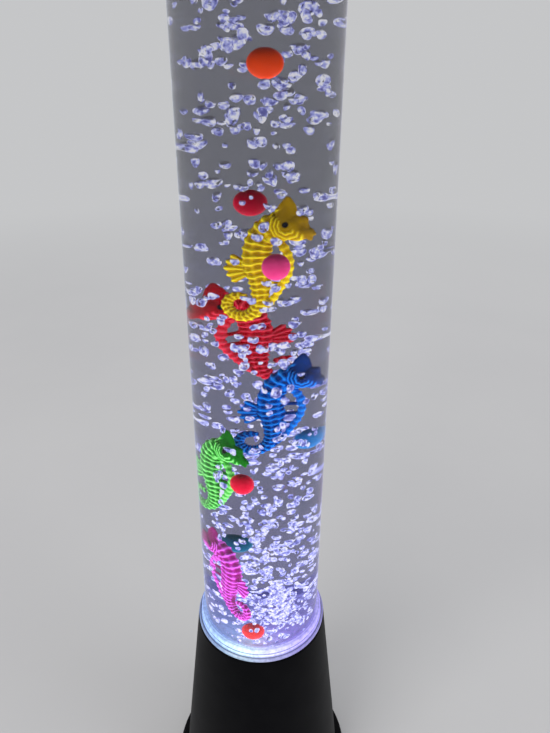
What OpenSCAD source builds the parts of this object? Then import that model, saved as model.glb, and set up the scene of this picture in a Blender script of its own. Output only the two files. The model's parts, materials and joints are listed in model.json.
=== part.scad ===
// Bubble tube floor lamp: a clear water tube with moulded seahorses and small
// balls floating in it, standing in a lit clear collar on a tapered black base
// that holds the air pump, the lights and the control board.
// Millimetres, +Z up, origin on the floor at the tube's axis, front towards -Y.

/* [Tube] */
// Outside diameter of the clear tube
tube_d = 80; // [78:1:82]
// Wall thickness of the clear tube
tube_wall = 3; // [2:0.5:3.5]
// Length of the clear tube
tube_h = 772; // [700:4:1000]

/* [Base] */
// Height of the collar's seat above the floor
seat_z = 168; // [168:1:180]
// Diameter of the tapered shell at its top
shell_top_d = 90.4; // [89:0.2:92]
// Diameter of the tapered shell where it meets the foot
shell_foot_d = 125.2; // [122:0.2:130]
// Wall thickness of the tapered shell
shell_wall = 2.8; // [2.4:0.2:3.2]
// Diameter of the foot flange
foot_d = 137.6; // [134:0.4:142]
// Height of the top of the foot flange above the floor
foot_top = 10; // [9:0.5:11]
// Height of the rubber feet under the flange
foot_pad = 3; // [2:0.5:3]

/* [Collar] */
// Diameter of the clear collar's lower rim
collar_d = 89.8; // [89:0.2:92]
// Height of the collar above its seat
collar_h = 8.5; // [7:0.5:12]

/* [Floats] */
// Diameter of the floating balls
ball_d = 13; // [9:0.5:14]
// Height of a moulded seahorse, crest to tail
seahorse_h = 65; // [50:1:66]

/* [Button] */
// Travel of the mode button
button_travel = 1; // [0.4:0.1:1.2]

/* [Cap] */
// Diameter of the lift-off cap
cap_d = 88; // [86:1:92]
// Depth of the cap's skirt over the tube
cap_skirt = 16; // [10:1:20]

/* [Hidden] */

fine = 96;
mid = 48;
small = 24;

tube_r = tube_d / 2;
bore_r = tube_r - tube_wall;
glue = 0.05;

// Heights of the stack that carries the tube, from the collar's ledge up
ledge_z = seat_z - 12;
gasket_h = 1.5;
tube_z = ledge_z + gasket_h;
tube_top = tube_z + tube_h;
floor_h = 6;
chamber_h = 6;
plate_h = 2;
plate_z = ledge_z + floor_h + chamber_h;
water_floor = plate_z + plate_h;

// Nipples and hose of the air line
nipple_r = 1.95;
hose_in = 2.0;
hose_out = 3.2;
air_r = 1.0;

// Screw posts between the foot plate and the shell
post_r = 51;
post_angles = [45, 135, 225, 315];
post_pad = 2;
screw_r = 1.5;
plate_floor = 3;
floor_top = foot_pad + plate_floor;
// Height of the foot plate's lip, which centres the shell
lip_h = 3;

// Flat rear panel, sunk into the taper, that holds the inlet and the button
panel_y = 55;
panel_w = 34;
panel_z = [16, 58];
panel_t = 2.8;
button_z = 46;
button_r = 5;
button_gap = 0.05;
inlet_z = 24;
inlet_r = 4.4;
plug_r = 2.85;

// Upright control board behind the panel
board_y = 43.3;
board_t = 1.6;
board_w = 40;
board_z = [8, 56];

// Light ring under the tube
shelf_t = 2.5;
led_z = seat_z - 28;
led_t = 1.6;

// Air pump, lying on its mounts with the diaphragm on the tube's axis
pump_x = [-26, 36];
pump_y = 17;
pump_z = [14, 48];
pump_wall = 2;
pin_x = -18;
arm_z = 42;
outlet_z = 23;
valve_top = 27;
arm_t = 4;

function shell_r(z) =
    shell_foot_d / 2
    + (shell_top_d - shell_foot_d) / 2 * (z - foot_top) / (seat_z - foot_top);

// ---------------------------------------------------------------- helpers

// A flat ring between two radii and two heights
module ring(r_out, r_in, z0, z1, fn = fine) {
    rotate_extrude($fn = fn)
        translate([r_in, z0])
            square([r_out - r_in, z1 - z0]);
}

module at_posts() {
    for (a = post_angles)
        rotate(a) translate([post_r, 0, 0]) children();
}

// A block given by its two corners
module block(low, high) {
    translate(low) cube(high - low);
}

// A cylinder along +Y from y0 to y1, through (x, z)
module along_y(x, z, y0, y1, r, fn = mid) {
    translate([x, y0, z]) rotate([-90, 0, 0]) cylinder(r = r, h = y1 - y0, $fn = fn);
}

// ---------------------------------------------------------------- base

module base_shell() {
    boss_top = 50;
    color("#0b0b0d") difference() {
        union() {
            shell_wall_ring();
            light_shelf();
            rear_panel_block();
            at_posts() translate([0, 0, floor_top + post_pad])
                cylinder(r = 4, h = boss_top - floor_top - post_pad, $fn = mid);
            for (a = post_angles) rotate(a) post_rib(boss_top);
        }
        block([-panel_w / 2, panel_y, panel_z[0]], [panel_w / 2, panel_y + 20, panel_z[1]]);
        along_y(0, button_z, panel_y - 10, panel_y + 10, button_r + button_gap);
        along_y(0, inlet_z, panel_y - 10, panel_y + 10, inlet_r + 0.1);
        at_posts() translate([0, 0, floor_top]) cylinder(r = screw_r + 0.02, h = 22, $fn = mid);
        for (a = [30, 150, 270]) rotate(a)
            translate([31, 0, led_z - 8]) cylinder(r = 1.22, h = 10, $fn = small);
    }
}

// The tapered wall with its rolled top edge, as one turned profile
module shell_wall_ring() {
    top = seat_z;
    top_r = shell_top_d / 2;
    rotate_extrude($fn = fine) polygon([
        [shell_r(foot_top), foot_top],
        [shell_r(top - 1.6), top - 1.6],
        [top_r - 0.35, top - 0.5],
        [top_r - 0.9, top],
        [tube_r + 2.4, top],
        [tube_r + 2.4, top - 3],
        [shell_r(top - 6) - shell_wall, top - 6],
        [shell_r(foot_top) - shell_wall, foot_top]
    ]);
}

// The inner shelf that carries the light ring, with three screw bosses
module light_shelf() {
    under = led_z - shelf_t;
    rotate_extrude($fn = fine) polygon([
        [shell_r(led_z) - 1, led_z],
        [26, led_z],
        [26, under],
        [shell_r(under) - 1, under]
    ]);
    for (a = [30, 150, 270]) rotate(a)
        translate([31, 0, under - 4.5]) cylinder(r = 3, h = 5, $fn = small);
}

// The block behind the flat rear panel, trimmed to the taper
module rear_panel_block() {
    edge = 2.5;
    intersection() {
        cylinder(r1 = shell_r(0) - 0.4, r2 = shell_r(80) - 0.4, h = 80, $fn = fine);
        block(
            [-panel_w / 2 - edge, panel_y - panel_t, panel_z[0] - edge],
            [panel_w / 2 + edge, panel_y + 12, panel_z[1] + edge]
        );
    }
}

// The web that ties a screw post to the tapered wall
module post_rib(top) {
    low = foot_top + lip_h + 0.5;
    rotate([90, 0, 0]) translate([0, 0, -1]) linear_extrude(2) polygon([
        [post_r, low],
        [shell_r(low) - 1, low],
        [shell_r(top) - 1, top],
        [post_r, top]
    ]);
}

module base_plate() {
    lip_out = shell_r(foot_top) - shell_wall - 0.5;
    rim_in = lip_out - 2.5;
    color("#101013") difference() {
        union() {
            rotate_extrude($fn = fine) polygon([
                [0, foot_pad],
                [foot_d / 2 - 0.8, foot_pad],
                [foot_d / 2, foot_pad + 0.8],
                [foot_d / 2, foot_top - 1.8],
                [foot_d / 2 - 0.5, foot_top - 0.6],
                [foot_d / 2 - 1.6, foot_top],
                [lip_out, foot_top],
                [lip_out, foot_top + lip_h],
                [lip_out - 1.3, foot_top + lip_h],
                [rim_in, floor_top],
                [0, floor_top]
            ]);
            at_posts() translate([0, 0, floor_top]) cylinder(r = 6, h = post_pad, $fn = mid);
            for (s = [-1, 1]) board_guide(s);
            for (p = pump_feet()) translate([p[0], p[1], floor_top - 0.5])
                cylinder(r = 1.9, h = 3.5, $fn = small);
        }
        at_posts() translate([0, 0, foot_pad - 1]) cylinder(r = 3.2, h = 3.2, $fn = mid);
        at_posts() translate([0, 0, foot_pad]) cylinder(r = screw_r + 0.2, h = 10, $fn = mid);
        at_feet() translate([0, 0, foot_pad - 1]) cylinder(r = 7.1, h = 2, $fn = mid);
        for (a = [0:15:345]) rotate(a) translate([37, -1.25, foot_pad - 1]) cube([8, 2.5, 6]);
    }
}

// A slotted post that holds one edge of the control board
module board_guide(side) {
    x = side * (board_w / 2 + 0.6);
    difference() {
        block([x - 2.5, board_y - 2.2, floor_top - 0.5], [x + 2.5, board_y + board_t + 2.2, 26]);
        block(
            [side > 0 ? x - 5 : x - 0.5, board_y - 0.05, floor_top + 2],
            [side > 0 ? x + 0.5 : x + 5, board_y + board_t + 0.05, 30]
        );
    }
}

module at_feet() {
    for (a = [0, 90, 180, 270]) rotate(a) translate([60, 0, 0]) children();
}

module rubber_feet() {
    color("#26262a") at_feet() rotate_extrude($fn = mid) polygon([
        [0, 0], [6.2, 0], [7, 0.8], [7, foot_pad + 1], [0, foot_pad + 1]
    ]);
}

module base_screws() {
    color("silver") at_posts() difference() {
        union() {
            translate([0, 0, foot_pad + 0.3]) cylinder(r = 2.9, h = 1.9, $fn = mid);
            translate([0, 0, foot_pad + 2]) cylinder(r = screw_r, h = 18, $fn = mid);
        }
        for (t = [0, 90]) rotate(t) block([-2, -0.4, 0], [2, 0.4, foot_pad + 1.3]);
    }
}

// ---------------------------------------------------------------- tube stack

// Clear stepped collar: a skirt in the shell's mouth, a wide lower rim that
// rests on the shell, a raised inner step, and a ledge that the tube stands on
module collar() {
    step_r = tube_r + 2.7;
    rim_r = collar_d / 2;
    top = seat_z + collar_h;
    color("#b9c6ff", 0.5) rotate_extrude($fn = fine) polygon([
        [bore_r - 0.5, ledge_z - 2.5],
        [tube_r + 2.2, ledge_z - 2.5],
        [tube_r + 2.2, seat_z],
        [rim_r - 0.4, seat_z],
        [rim_r, seat_z + 0.4],
        [rim_r, seat_z + 2],
        [rim_r - 0.7, seat_z + 2.7],
        [rim_r - 1.5, seat_z + 2.7],
        [step_r + 0.5, seat_z + 2.1],
        [step_r, top - 1.1],
        [step_r - 1.1, top],
        [tube_r + glue, top],
        [tube_r + glue, ledge_z],
        [bore_r - 0.5, ledge_z]
    ]);
}

module tube_gasket() {
    color("#d8d8e0") ring(tube_r, bore_r + 0.2, ledge_z, tube_z);
}

module tube() {
    color("#dfe4ff", 0.35) ring(tube_r, bore_r, tube_z, tube_top);
}

module tube_floor() {
    color("#cfd8ff", 0.6) difference() {
        union() {
            translate([0, 0, ledge_z]) cylinder(r = bore_r - glue, h = floor_h, $fn = fine);
            translate([0, 0, ledge_z - 12]) cylinder(r = nipple_r, h = 13, $fn = mid);
            translate([0, 0, ledge_z - 1.5]) cylinder(r = 4, h = 2, $fn = mid);
            for (a = [0:60:300]) rotate(a)
                translate([30, 0, ledge_z + floor_h - 1]) cylinder(r = 1.6, h = chamber_h + 1, $fn = small);
        }
        translate([0, 0, ledge_z - 13]) cylinder(r = air_r, h = 30, $fn = small);
    }
}

// Perforated disc that breaks the air into bubbles
module bubble_plate() {
    pitch = 9;
    color("#f2f2fa", 0.8) difference() {
        union() {
            translate([0, 0, plate_z]) cylinder(r = bore_r - 0.3, h = plate_h, $fn = fine);
            ring(bore_r - 0.3, bore_r - 2, plate_z - 2, plate_z + 0.5);
        }
        for (i = [-4:4], j = [-4:4]) {
            x = pitch * (i + j / 2);
            y = pitch * j * sqrt(3) / 2;
            if (norm([x, y]) < bore_r - 6)
                translate([x, y, plate_z - 1]) cylinder(r = 0.7, h = plate_h + 2, $fn = 16);
        }
    }
}

// ---------------------------------------------------------------- lights

module led_board() {
    color("#1f6b3a") difference() {
        ring(34, 8, led_z, led_z + led_t);
        for (a = [30, 150, 270]) rotate(a)
            translate([31, 0, led_z - 1]) cylinder(r = 1.4, h = 4, $fn = small);
    }
}

module leds() {
    color("#f4f2ff") for (row = [[12, 26, 0], [6, 15, 15]], i = [0:row[0] - 1])
        rotate(i * 360 / row[0] + row[2]) translate([row[1], 0, led_z + led_t]) led();
}

// One surface-mount light: a square cup with a round window
module led() {
    difference() {
        translate([-2.5, -2.5, 0]) cube([5, 5, 1.6]);
        translate([0, 0, 1.2]) cylinder(r = 2, h = 1, $fn = small);
    }
}

module led_screws() {
    color("silver") for (a = [30, 150, 270]) rotate(a) translate([31, 0, 0]) {
        translate([0, 0, led_z + led_t]) cylinder(r = 2.1, h = 1.4, $fn = small);
        translate([0, 0, led_z - 5]) cylinder(r = 1.2, h = 5 + led_t + 0.5, $fn = small);
    }
}

// ---------------------------------------------------------------- air pump

function pump_feet() = [for (x = [pump_x[0] + 8, pump_x[1] - 8], y = [-12, 12]) [x, y]];

module pump_mounts() {
    color("#2a2a2e") for (p = pump_feet()) translate([p[0], p[1], 0]) rotate_extrude($fn = mid) polygon([
        [2, floor_top], [5, floor_top], [5, floor_top + 2], [3.6, floor_top + 3],
        [3.6, pump_z[0] - 3], [5, pump_z[0] - 2], [5, pump_z[0]], [2, pump_z[0]]
    ]);
}

module pump_case() {
    w = pump_wall;
    color("#e8e8e4") difference() {
        union() {
            block([pump_x[0], -pump_y, pump_z[0]], [pump_x[1], pump_y, pump_z[1]]);
            for (s = [-1, 1]) along_y(pin_x, arm_z, s > 0 ? pump_y - 0.5 : -pump_y - 1, s > 0 ? pump_y + 1 : 0.5 - pump_y, 3.2);
        }
        block([pump_x[0] + w, w - pump_y, pump_z[0] + w], [pump_x[1] - w, pump_y - w, pump_z[1] + 1]);
        along_y(pin_x, arm_z, -pump_y - 2, pump_y + 2, screw_r + 0.02);
        along_y(0, outlet_z, 10, pump_y + 2, 3);
        for (i = [0:4]) block([pump_x[1] - 3, 4 * i - 9, 22], [pump_x[1] + 1, 4 * i - 7, 40]);
    }
}

module pump_cover() {
    w = pump_wall;
    lip = 1.5;
    color("#e8e8e4") difference() {
        union() {
            block([pump_x[0], -pump_y, pump_z[1]], [pump_x[1], pump_y, pump_z[1] + 2]);
            block([pump_x[0] + w + 0.1, w + 0.1 - pump_y, pump_z[1] - 2],
                  [pump_x[1] - w - 0.1, pump_y - w - 0.1, pump_z[1] + 1]);
            for (i = [0:5]) block([pump_x[0] + 6 + 9.5 * i, 4 - pump_y, pump_z[1] + 1],
                                  [pump_x[0] + 8 + 9.5 * i, pump_y - 4, pump_z[1] + 3]);
        }
        block([pump_x[0] + w + lip, w + lip - pump_y, pump_z[1] - 3],
              [pump_x[1] - w - lip, pump_y - w - lip, pump_z[1]]);
    }
}

// E-shaped iron core, its three poles facing the magnet
module pump_core() {
    color("#8d8f94") rotate([90, 0, 0]) translate([0, 0, -6]) linear_extrude(12) polygon([
        [13.5, 16], [34, 16], [34, 34], [31, 34], [31, 20], [26.5, 20], [26.5, 34],
        [21.5, 34], [21.5, 20], [16.5, 20], [16.5, 34], [13.5, 34]
    ]);
}

module pump_coil() {
    color("#b06a35") difference() {
        block([17.2, -12, 20.2], [30.6, 12, 33]);
        block([21.4, -6.1, 19], [26.6, 6.1, 35]);
    }
}

module pump_arm() {
    half = arm_t / 2;
    color("#3c3f46") difference() {
        union() {
            block([pin_x, -4, arm_z - half], [32, 4, arm_z + half]);
            block([19, -6.5, arm_z - half], [33, 6.5, arm_z + half]);
            along_y(pin_x, arm_z, -12.5, 12.5, 4);
        }
        along_y(pin_x, arm_z, -14, 14, screw_r + 0.05);
    }
}

module arm_pin() {
    color("silver") along_y(pin_x, arm_z, -pump_y - 1, pump_y + 1, screw_r);
}

module pump_magnet() {
    color("#55585e") block([20, -6, arm_z - arm_t / 2 - 4], [32, 6, arm_z - arm_t / 2]);
}

// Folded rubber cup between the valve head and the arm
module pump_diaphragm() {
    top = arm_z - arm_t / 2;
    color("#303034") rotate_extrude($fn = mid) polygon([
        [0, top], [3, top], [3.4, top - 3], [6.5, top - 5], [5.6, top - 7], [8, top - 9],
        [8.4, valve_top], [6.6, valve_top], [6.4, top - 8.6], [4, top - 6.8],
        [5, top - 5.2], [2, top - 3.4], [0, top - 3.4]
    ]);
}

module pump_valve() {
    color("#d9d9d2") difference() {
        union() {
            block([-9, -9, pump_z[0] + pump_wall], [9, 9, valve_top]);
            along_y(0, outlet_z, 8.5, 25, nipple_r);
        }
        along_y(0, outlet_z, 0, 26, air_r, small);
        translate([0, 0, outlet_z]) cylinder(r = air_r, h = 10, $fn = small);
    }
}

// ---------------------------------------------------------------- air line

// A straight stretch of hose up +Z
module hose_run(len) {
    ring(hose_out, hose_in, 0, len, mid);
}

// A quarter bend from +Z towards +Y
module hose_bend(r) {
    translate([0, r, 0]) rotate([90, 0, -90]) rotate_extrude(angle = 90, $fn = mid)
        translate([r, 0]) difference() {
            circle(r = hose_out, $fn = small);
            circle(r = hose_in, $fn = small);
        }
}

// From the valve head's outlet, up behind the pump and back to the tube's axis
module hose_lower() {
    first = 12;
    back = (25 + first) / 2;
    rise = seat_z - 62 - 2 * back;
    color("#e9e9f2", 0.8) {
        union() {
            translate([0, 18, outlet_z]) rotate([-90, 0, 0]) hose_run(7);
            translate([0, 25 + first, outlet_z + first]) mirror([0, 0, 1]) mirror([0, 1, 0]) hose_bend(first);
            translate([0, 25 + first, outlet_z + first]) hose_run(rise - outlet_z - first);
            translate([0, 25 + first, rise]) mirror([0, 1, 0]) hose_bend(back);
            translate([0, 0, rise + 2 * back]) mirror([0, 0, 1]) hose_bend(back);
            translate([0, 0, rise + 2 * back]) hose_run(8);
        }
    }
}

module check_valve() {
    low = seat_z - 60;
    color("#3aa0d8") difference() {
        rotate_extrude($fn = mid) polygon([
            [0, low], [nipple_r, low], [nipple_r, low + 8], [5, low + 8], [5.6, low + 9],
            [5.6, low + 12], [4.4, low + 13], [4.4, low + 14], [5.6, low + 15], [5.6, low + 17],
            [5, low + 18], [nipple_r, low + 18], [nipple_r, low + 26], [0, low + 26]
        ]);
        translate([0, 0, low - 1]) cylinder(r = air_r, h = 30, $fn = small);
    }
}

module hose_upper() {
    color("#e9e9f2", 0.8) ring(hose_out, hose_in, seat_z - 40, ledge_z - 3, mid);
}

// ---------------------------------------------------------------- controls

module control_board() {
    half = board_w / 2;
    color("#1f6b3a") union() {
        block([-half, board_y, board_z[0]], [half, board_y + board_t, board_z[1]]);
        block([8, board_y - 2, 34], [16, board_y + 0.5, 42]);
        block([-16, board_y - 1.4, 40], [-10, board_y + 0.5, 50]);
        along_y(-12, 30, board_y - 2.6, board_y + 0.5, 3.5, small);
    }
}

module mode_switch() {
    face = board_y + board_t;
    color("#2b2b30") union() {
        block([-3, face, button_z - 3], [3, face + 2.6, button_z + 3]);
        along_y(0, button_z, face + 2, face + 3.4, 1.7, small);
    }
}

module mode_button() {
    face = board_y + board_t;
    inner = face + 3.4 + button_travel + 0.2;
    flange = panel_y - panel_t - 0.2;
    color("#17171a") difference() {
        union() {
            along_y(0, button_z, flange - 1, panel_y + 1.6, button_r);
            along_y(0, button_z, flange - 1, flange, button_r + 1.3);
            along_y(0, button_z, inner, flange - 0.5, 2, small);
            translate([0, panel_y + 1.6, button_z]) rotate([-90, 0, 0])
                cylinder(r1 = button_r, r2 = button_r - 0.6, h = 0.6, $fn = mid);
        }
        translate([0, panel_y + 14.5, button_z]) sphere(r = 13, $fn = mid);
    }
}

module dc_jack() {
    face = board_y + board_t;
    front = panel_y + 0.6;
    color("#1c1c20") difference() {
        union() {
            block([-5.5, face, inlet_z - 6], [5.5, panel_y - panel_t - 0.2, inlet_z + 6]);
            along_y(0, inlet_z, face + 3, front, inlet_r);
        }
        difference() {
            along_y(0, inlet_z, face + 2, front + 1, plug_r);
            along_y(0, inlet_z, face + 1, front - 1.2, 1);
        }
    }
}

// ---------------------------------------------------------------- cap

module top_cap() {
    r = cap_d / 2;
    top = tube_top + 4;
    color("#0b0b0d") difference() {
        rotate_extrude($fn = fine) polygon([
            [0, top + 3], [14, top + 2.7], [28, top + 1.8], [r - 4, top], [r - 1.2, top - 1.6],
            [r, top - 4], [r + 0.4, tube_top - cap_skirt], [tube_r + 0.4, tube_top - cap_skirt],
            [tube_r + 0.4, tube_top], [bore_r - 0.4, tube_top], [bore_r - 0.6, tube_top - 9],
            [bore_r - 2.4, tube_top - 9], [bore_r - 2.6, tube_top], [0, tube_top]
        ]);
        for (a = [0:60:300]) rotate(a) translate([20, 0, tube_top - 1]) cylinder(r = 2, h = 12, $fn = small);
        translate([0, 0, tube_top - 1]) cylinder(r = 2, h = 12, $fn = small);
    }
}

// ---------------------------------------------------------------- floats

// Where each float hangs in the water at rest: centre, turn about the tube's
// axis, and lean
function float_row(name) = [for (f = FLOATS) if (f[0] == name) f][0];
FLOATS = [
    ["seahorse_yellow", "#f2d21c", [2.3, -7.8, 431.6], -20, -1],
    ["seahorse_red", "#e3122a", [-4.5, 21, 383.3], 204, 5.5],
    ["seahorse_blue", "#0f62c8", [7.8, -6.9, 347.9], -2, 1],
    ["seahorse_green", "#3fd023", [-21.5, -10.5, 303], -47, -3],
    ["seahorse_magenta", "#e5189c", [-17.6, -19, 226.8], 130, -2.5],
    ["ball_orange", "#f4551c", [2.4, 4, 520.4]],
    ["ball_crimson", "#c3122c", [-3.3, 6, 458.5]],
    ["ball_pink", "#f0417e", [8.3, -26, 432.5]],
    ["ball_sky", "#2c8fc4", [19.4, 10, 316]],
    ["ball_red", "#ec1733", [-8.9, -28, 304.2]],
    ["ball_teal", "#17879a", [-10, 12, 235.3]],
    ["ball_coral", "#f43a2c", [-4.1, -24, 180.8]]
];

module ball(name) {
    f = float_row(name);
    color(f[1]) translate(f[2]) sphere(r = ball_d / 2, $fn = mid);
}

module seahorse(name) {
    f = float_row(name);
    color(f[1]) translate(f[2]) rotate(f[3]) rotate([0, f[4], 0])
        scale(seahorse_h / 65) seahorse_mould();
}

// The seahorse's own frame: it faces +X, is upright along +Z and is flat in Y.
// Its spine, from the nape to the tip of the curled tail: [x, z, half width]
SPINE = [
    [7, 20, 5], [2.6, 17, 5.7], [-0.9, 12.2, 5.8], [-2.6, 6.8, 6], [-3, 0.4, 6.1],
    [-2.2, -5.6, 5.6], [-1.6, -11, 4.9], [-1.6, -16, 4.2], [-2, -21, 3.6], [-3.4, -25.4, 3.3],
    [-6.6, -28.9, 3], [-10.9, -30.2, 2.9], [-14.9, -28.5, 2.7], [-16.8, -24.6, 2.5],
    [-15.3, -20.6, 2.2], [-11.8, -18.9, 1.9], [-7.9, -19.6, 1.4]
];
// The belly's thin outer rim, from the chest to the root of the tail
RIM = [
    [4.6, 12.4, 2], [8.8, 7.6, 1.8], [11.2, 2, 1.8], [11.3, -4, 1.7], [9.3, -9.6, 1.6],
    [6, -15.6, 1.5], [2.8, -21, 1.5], [-1, -25.6, 1.6]
];

// A point on a smooth curve through a list of control points (Catmull-Rom)
function curve_at(p, u) =
    let (n = len(p) - 1,
         i = min(floor(u), n - 1),
         t = u - i,
         a = p[max(i - 1, 0)], b = p[i], c = p[i + 1], d = p[min(i + 2, n)])
    0.5 * (2 * b + (c - a) * t + (2 * a - 5 * b + 4 * c - d) * t * t
           + (3 * b - a - 3 * c + d) * t * t * t);

// A closed tube swept along a flat curve. Every second ring is pinched by
// `pinch`, which makes the bony rings; `flat` is its depth over its width
module swept(path, steps, sides, pinch, flat) {
    last = len(path) - 1;
    du = last / steps;
    points = [for (k = [0:steps]) let (
        c = curve_at(path, k * du),
        e = curve_at(path, min(k * du + 0.05, last)) - curve_at(path, max(k * du - 0.05, 0)),
        l = norm([e[0], e[1]]),
        side = [-e[1] / l, e[0] / l],
        r = c[2] * (k % 2 == 0 ? 1 : 1 - pinch)
    ) for (s = [0:sides - 1]) let (a = 360 * (s + 0.5) / sides)
        [c[0] + side[0] * r * cos(a), r * flat * sin(a), c[1] + side[1] * r * cos(a)]];
    walls = [for (k = [0:steps - 1], s = [0:sides - 1]) let (
        a = k * sides + s, b = k * sides + (s + 1) % sides) each
        [[a, b, b + sides], [a, b + sides, a + sides]]];
    start = [for (s = [sides - 1:-1:0]) s];
    end = [for (s = [0:sides - 1]) steps * sides + s];
    polyhedron(points, concat(walls, [start], [end]));
}

// A rounded bar between two points of the flat figure, thick in Y by `flat`
module limb(a, ra, b, rb, flat = 1, fn = 10) {
    hull() {
        translate([a[0], 0, a[1]]) scale([1, flat, 1]) sphere(r = ra, $fn = fn);
        translate([b[0], 0, b[1]]) scale([1, flat, 1]) sphere(r = rb, $fn = fn);
    }
}

module seahorse_mould() {
    swept(SPINE, 44, 8, 0.16, 0.86);
    swept(RIM, 16, 6, 0.22, 1.1);
    seahorse_head();
    seahorse_fin();
    // Cross bars of the open belly
    limb([1, 1.5], 1, [11, 1], 0.9, 1, 8);
    limb([1, -5], 1, [11.2, -5], 0.9, 1, 8);
    limb([0.5, -11], 1, [8.6, -10.6], 0.9, 1, 8);
}

module seahorse_head() {
    limb([8.6, 17.4], 6.2, [12.6, 17], 5.8, 0.8, 12);
    limb([12.6, 15.8], 4.8, [18.6, 15], 3.2, 0.8, 8);
    // Short wedge of a snout, with its lips drawn to a blunt point
    limb([18.6, 15.1], 3.1, [21.6, 14.9], 2.4, 0.7, 8);
    limb([21.4, 14.2], 2.2, [23.2, 14.3], 1.3, 0.8, 8);
    // Brow, which overhangs the snout, and the eyes
    limb([14, 20], 3.6, [18.6, 21], 2.1, 0.7, 8);
    for (s = [-1, 1]) translate([11.6, s * 3.6, 19.2]) sphere(r = 1.5, $fn = 8);
    // Crest: a broad root that leans forward to a rounded point
    crest = [[8.4, 23.4, 2.6], [13.2, 24, 2.5], [10.2, 27, 2.4], [12.9, 27.2, 2.4], [11.8, 30.6, 1.6]];
    hull() for (c = crest) translate([c[0], 0, c[1]]) scale([1, 0.62, 1]) sphere(r = c[2], $fn = 8);
    // Raised cheek lines, as chevrons from the nape to the jaw
    for (i = [0, 1]) {
        x = 3.4 + 2.4 * i;
        limb([x, 19.6], 0.7, [x + 1.2, 14.2 - 0.4 * i], 0.7, 7.2, 6);
        limb([x + 1.2, 14.2 - 0.4 * i], 0.7, [x + 5, 11.4 + 0.5 * i], 0.7, 6, 6);
    }
}

// Fan-shaped fin on the back, with a ray along each lobe
module seahorse_fin() {
    root = [-3, -4.6];
    reach = 13.2;
    for (i = [-2:2]) {
        a = 180 + 15.5 * i;
        tip = root + (reach - abs(i) * 0.6) * [cos(a), sin(a)];
        limb(root + 3 * [cos(a), sin(a)], 0.9, tip, 1.5, 0.62, 8);
    }
    rotate([90, 0, 0]) translate([0, 0, -0.5]) linear_extrude(1) polygon([
        root, for (i = [-2:0.5:2]) root + (reach - abs(i) * 0.6) * [cos(180 + 15.5 * i), sin(180 + 15.5 * i)]
    ]);
}

// ---------------------------------------------------------------- nodes

base_shell();
base_plate();
rubber_feet();
base_screws();
collar();
tube_gasket();
tube();
tube_floor();
bubble_plate();
led_board();
leds();
led_screws();
pump_mounts();
pump_case();
pump_cover();
pump_core();
pump_coil();
pump_arm();
arm_pin();
pump_magnet();
pump_diaphragm();
pump_valve();
hose_lower();
check_valve();
hose_upper();
control_board();
mode_switch();
mode_button();
dc_jack();
top_cap();
seahorse("seahorse_yellow");  // seahorse_yellow
seahorse("seahorse_red");  // seahorse_red
seahorse("seahorse_blue");  // seahorse_blue
seahorse("seahorse_green");  // seahorse_green
seahorse("seahorse_magenta");  // seahorse_magenta
ball("ball_orange");  // ball_orange
ball("ball_crimson");  // ball_crimson
ball("ball_pink");  // ball_pink
ball("ball_sky");  // ball_sky
ball("ball_red");  // ball_red
ball("ball_teal");  // ball_teal
ball("ball_coral");  // ball_coral
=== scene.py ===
# %% [markdown]
# # Bubble tube floor lamp
# A clear tube of water stands in a lit collar on a tapered black base. Air rises through the
# water as bubbles, and moulded seahorses and small balls float in it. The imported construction
# comes first and is never moved: everything below is dressed round it, in metres.

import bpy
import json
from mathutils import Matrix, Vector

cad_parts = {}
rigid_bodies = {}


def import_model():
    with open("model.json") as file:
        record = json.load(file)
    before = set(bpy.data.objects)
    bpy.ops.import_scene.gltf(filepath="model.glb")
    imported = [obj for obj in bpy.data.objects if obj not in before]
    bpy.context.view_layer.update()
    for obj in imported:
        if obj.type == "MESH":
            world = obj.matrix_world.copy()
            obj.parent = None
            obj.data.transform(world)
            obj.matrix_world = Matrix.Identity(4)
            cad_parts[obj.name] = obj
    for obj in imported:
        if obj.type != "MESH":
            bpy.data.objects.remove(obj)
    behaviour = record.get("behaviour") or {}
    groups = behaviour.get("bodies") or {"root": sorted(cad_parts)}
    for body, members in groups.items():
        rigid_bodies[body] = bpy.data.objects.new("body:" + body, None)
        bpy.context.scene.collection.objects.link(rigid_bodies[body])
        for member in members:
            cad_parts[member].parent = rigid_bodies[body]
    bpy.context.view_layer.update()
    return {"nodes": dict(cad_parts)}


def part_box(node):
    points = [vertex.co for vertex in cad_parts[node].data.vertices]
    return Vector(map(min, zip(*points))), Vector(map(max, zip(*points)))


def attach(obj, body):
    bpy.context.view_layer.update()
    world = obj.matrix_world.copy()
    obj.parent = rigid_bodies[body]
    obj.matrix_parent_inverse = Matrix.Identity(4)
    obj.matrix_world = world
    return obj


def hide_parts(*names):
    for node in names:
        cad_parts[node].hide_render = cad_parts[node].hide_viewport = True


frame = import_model()

# %% Tools and units
import json
import math
import random

import bmesh
import bpy
import numpy as np
from mathutils import Matrix, Vector, kdtree, noise

MM = 0.001
scene = bpy.context.scene
nodes = frame["nodes"]


def add_object(name, data):
    """An object in the scene with that data."""
    made = bpy.data.objects.new(name, data)
    scene.collection.objects.link(made)
    return made


print(len(nodes), "construction nodes")

# %% [markdown]
# ## Camera
# The photograph looks down into the lamp from close by, so the camera comes before anything
# else. Its place and tilt were solved from the tube's edges and the rims of the collar and foot.

# %% Camera
CAMERA_PLACE = (0.0089, -0.3008, 0.5123)
CAMERA_DOWN = 26.17
CAMERA_ROLL = 0.36
LENS = 28.32

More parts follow.
